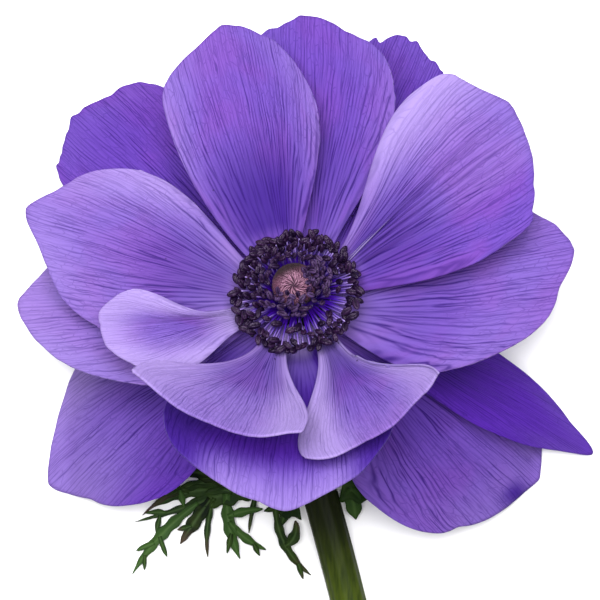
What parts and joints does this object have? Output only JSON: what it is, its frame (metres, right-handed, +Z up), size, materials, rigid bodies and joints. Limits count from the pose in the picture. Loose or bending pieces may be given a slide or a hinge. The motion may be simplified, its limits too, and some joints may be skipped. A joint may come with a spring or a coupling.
{
  "type": "anemone flower",
  "caption": "Single violet-blue anemone bloom, with overlapping tepals round a dark ring of stamens and finely cut bracts, lying on its short bent stem.",
  "frame": {"origin": "centre of the flower's footprint, on the surface that it lies on", "axes": "+Y from the cut end of the stem to the bloom, +X to the right with the bloom seen from above, +Z up"},
  "size_m": [0.0895, 0.1394, 0.0474],
  "materials": {
    "tepal": "matt, finely veined and velvety, violet-blue with a paler margin",
    "stem": "satin green, with fine lengthwise ridges and short down",
    "stamen": "powdery blackish-purple anthers on glossy violet filaments",
    "pistil": "downy, pink to dark purple",
    "bract": "satin dark green leaf"
  },
  "bodies": {
    "root": {"tepal_top_left": "tepal", "tepal_upper_right": "tepal", "tepal_left": "tepal", "tepal_fold_left": "tepal", "tepal_front_left": "tepal", "tepal_front_right": "tepal", "tepal_top": "tepal", "tepal_right": "tepal", "tepal_lower_left": "tepal", "tepal_front": "tepal", "tepal_back_top": "tepal", "tepal_back_left": "tepal", "tepal_low_left": "tepal", "tepal_low_right": "tepal", "tepal_long_right": "tepal", "stem": "stem", "stamens": "stamen", "pistil_head": "pistil", "bract_left": "bract", "bract_front": "bract", "bract_right": "bract"}
  },
  "joints": []
}
